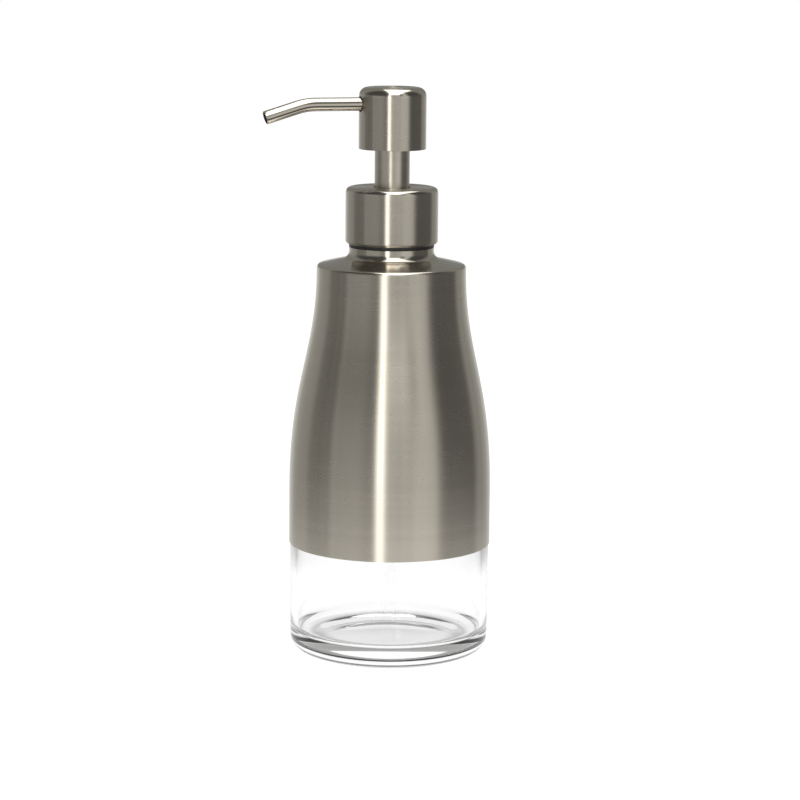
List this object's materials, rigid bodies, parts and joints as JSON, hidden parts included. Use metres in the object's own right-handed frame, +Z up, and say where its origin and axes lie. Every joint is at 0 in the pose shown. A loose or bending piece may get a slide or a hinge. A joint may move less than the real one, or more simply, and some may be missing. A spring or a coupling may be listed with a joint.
{
  "type": "soap pump dispenser",
  "caption": "Refillable liquid soap bottle: clear glass in a waisted brushed steel jacket, with a screw-on steel push pump, a thin downturned spout and a dip tube.",
  "frame": {"origin": "centre of the ring that the bottle stands on", "axes": "+Z up along the bottle and pump axis; -X is the way the spout points at rest"},
  "size_m": [0.0801, 0.0698, 0.1958],
  "materials": {
    "glass": "clear polished glass",
    "brushed_steel": "satin steel, fine grain round the axis; polished on the shoulder and neck",
    "polished_steel": "polished stainless steel",
    "spring_steel": "drawn spring wire",
    "white_plastic": "moulded natural polypropylene",
    "black_plastic": "moulded black polypropylene",
    "clear_plastic": "clear extruded tube",
    "piston": "soft waxy polyethylene",
    "gasket": "foamed sealing disc",
    "seal": "matt black rubber"
  },
  "bodies": {
    "bottle": {"glass_bottle": "glass", "steel_jacket": "brushed_steel"},
    "pump_body": {"pump_housing": "white_plastic", "neck_gasket": "gasket", "guide_bush": "white_plastic", "ball_cage": "white_plastic", "dip_tube": "clear_plastic", "return_spring": "spring_steel"},
    "collar": {"collar_shell": "brushed_steel", "collar_nut": "black_plastic"},
    "piston_ring": {"piston": "piston"},
    "plunger": {"stem": "white_plastic", "stem_foot": "white_plastic", "stem_sleeve": "polished_steel", "head_core": "white_plastic", "head_shell": "brushed_steel", "spout_tube": "polished_steel", "spout_seal": "seal"},
    "inlet_valve": {"inlet_ball": "polished_steel"},
    "outlet_valve": {"outlet_ball": "polished_steel"}
  },
  "joints": [
    {"name": "pump_rise", "type": "slide", "parent": "bottle", "child": "pump_body", "axis": [0, 0, 1], "range_m": [0, 0.00635]},
    {"name": "collar_turn", "type": "hinge", "parent": "pump_body", "child": "collar", "pos_m": [0, 0, 0.14237], "axis": [0, 0, 1], "range_deg": [0, 540]},
    {"name": "pump_stroke", "type": "slide", "parent": "pump_body", "child": "piston_ring", "axis": [0, 0, -1], "range_m": [0, 0.0115], "stiffness_N_per_m": 760, "springref_m": -0.0079, "deforming": ["return_spring"]},
    {"name": "head_swivel", "type": "hinge", "parent": "piston_ring", "child": "plunger", "pos_m": [0, 0, 0.19007], "axis": [0, 0, 1], "continuous": true},
    {"name": "inlet_lift", "type": "slide", "parent": "pump_body", "child": "inlet_valve", "axis": [0, 0, 1], "range_m": [0, 0.0012]},
    {"name": "outlet_lift", "type": "slide", "parent": "plunger", "child": "outlet_valve", "axis": [0, 0, 1], "range_m": [0, 0.0012]}
  ],
  "couplings": [
    {"joint": "pump_rise", "follows": "collar_turn", "m_per_rad": 0.0006737}
  ]
}
